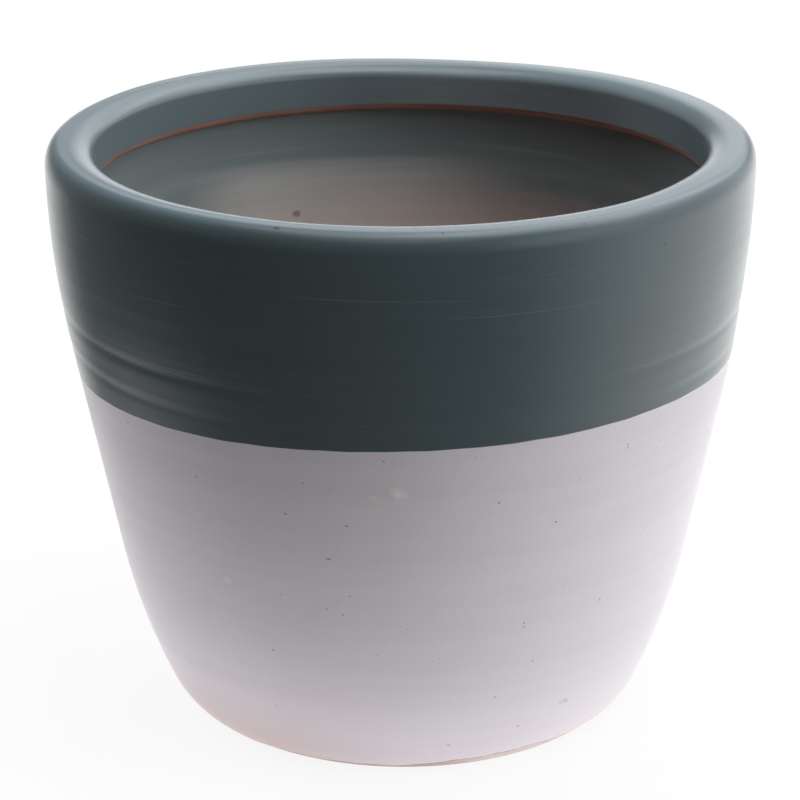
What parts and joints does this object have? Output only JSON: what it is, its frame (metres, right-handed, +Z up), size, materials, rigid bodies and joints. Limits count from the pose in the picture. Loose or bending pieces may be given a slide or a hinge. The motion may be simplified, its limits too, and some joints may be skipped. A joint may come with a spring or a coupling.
{
  "type": "planter pot",
  "caption": "Round tapered clay planter pot with a thick rolled rim, a teal painted upper band over a pale lower body, and a drainage hole in the floor.",
  "frame": {"origin": "centre of the foot, on the surface that the pot stands on", "axes": "+Z up along the pot's axis through the middle of the mouth; -Y is the front, the side that faces the viewer; +X is the viewer's right"},
  "size_m": [0.3, 0.3, 0.25],
  "materials": {
    "clay": "bare fired terracotta, matt and slightly porous",
    "pale_paint": "matt lilac white paint with small pinholes",
    "teal_paint": "satin grey teal paint with fine level brush streaks",
    "teal_wash": "thin uneven matt teal wash over clay"
  },
  "bodies": {
    "root": {"base_disc": "clay", "wall": "clay", "rim_collar": "clay", "pale_coat": "pale_paint", "teal_coat": "teal_paint", "inner_wash": "teal_wash"}
  },
  "joints": []
}
